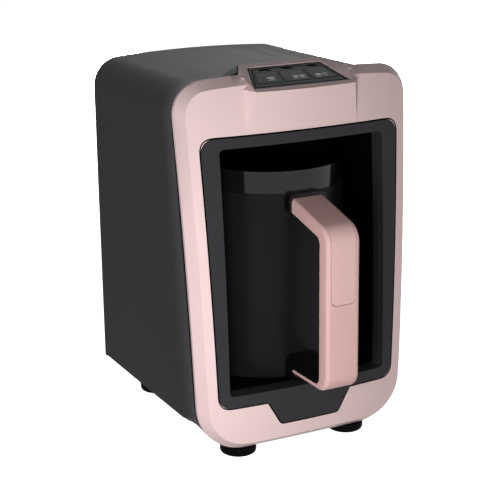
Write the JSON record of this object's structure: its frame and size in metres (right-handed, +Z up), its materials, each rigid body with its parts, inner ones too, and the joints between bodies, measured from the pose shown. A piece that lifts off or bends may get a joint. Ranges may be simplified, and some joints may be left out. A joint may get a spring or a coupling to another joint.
{
  "type": "electric turkish coffee maker",
  "caption": "Countertop electric Turkish coffee maker: pink front frame, black shell, lit brewing bay with hot plate, lift-out pot with loop handle and sloping push-button console.",
  "frame": {"origin": "middle of the overall footprint, at the level of the table", "axes": "+Z up; -Y is the front with the brewing bay and the pot's handle; +X is to the right of someone facing the front"},
  "size_m": [0.1752, 0.227, 0.2608],
  "materials": {
    "frame_pink": "satin pearl pink",
    "inlay_plastic": "glossy rose",
    "bezel_black": "glossy black",
    "shell_black": "fine satin black",
    "base_black": "matt black",
    "foot_rubber": "matt black rubber",
    "screw_steel": "bright zinc",
    "liner_black": "glossy black",
    "plate_metal": "black non-stick coating",
    "seal_rubber": "matt",
    "element_metal": "dull",
    "sheet_metal": "mill finish",
    "probe_metal": "satin",
    "thermostat_body": "moulded black",
    "sensor_glass": "dark tinted",
    "panel_black": "glossy black",
    "key_black": "glossy black with printed icons",
    "board_green": "solder mask",
    "terminal_white": "moulded",
    "pot_coating": "satin black",
    "collar_black": "glossy black",
    "pot_black": "satin black"
  },
  "bodies": {
    "machine": {"front_frame": "frame_pink", "front_bezel": "bezel_black", "outer_shell": "shell_black", "rear_cover": "base_black", "base_plate": "base_black", "cable_gland": "base_black", "feet": "foot_rubber", "rear_screws": "screw_steel", "base_screws": "screw_steel", "cavity_liner": "liner_black", "heater_plate": "plate_metal", "heater_seal": "seal_rubber", "heater_element": "element_metal", "heater_bracket": "sheet_metal", "heat_shield": "sheet_metal", "probe_spring": "screw_steel", "safety_thermostat": "thermostat_body", "foam_sensor_window": "sensor_glass", "control_panel": "panel_black", "tact_switches": "thermostat_body", "control_board": "board_green", "power_board": "board_green", "buzzer": "thermostat_body", "power_parts": "thermostat_body", "terminal_block": "terminal_white"},
    "pot": {"pot_body": "pot_coating", "pot_collar": "collar_black", "pot_base": "pot_black", "handle_shell": "frame_pink", "handle_inlay": "inlay_plastic", "handle_screws": "screw_steel", "handle_bracket_top": "pot_black", "handle_bracket_bottom": "pot_black"},
    "small_button": {"small_brew_button": "key_black"},
    "large_button": {"large_brew_button": "key_black"},
    "slow_button": {"slow_brew_button": "key_black"},
    "probe": {"temperature_probe": "probe_metal"}
  },
  "joints": [
    {"name": "pot_slide", "type": "slide", "parent": "machine", "child": "pot", "axis": [0, -1, 0], "range_m": [0, 0.2]},
    {"name": "small_button_press", "type": "slide", "parent": "machine", "child": "small_button", "axis": [0, 0.3278, -0.9447], "range_m": [0, 0.0009], "stiffness_N_per_m": 400, "springref_m": -0.0004},
    {"name": "large_button_press", "type": "slide", "parent": "machine", "child": "large_button", "axis": [0, 0.3278, -0.9447], "range_m": [0, 0.0009], "stiffness_N_per_m": 400, "springref_m": -0.0004},
    {"name": "slow_button_press", "type": "slide", "parent": "machine", "child": "slow_button", "axis": [0, 0.3278, -0.9447], "range_m": [0, 0.0009], "stiffness_N_per_m": 400, "springref_m": -0.0004},
    {"name": "probe_press", "type": "slide", "parent": "machine", "child": "probe", "axis": [0, 0, -1], "range_m": [0, 0.0015], "stiffness_N_per_m": 250, "springref_m": -0.001, "deforming": ["probe_spring"]}
  ]
}
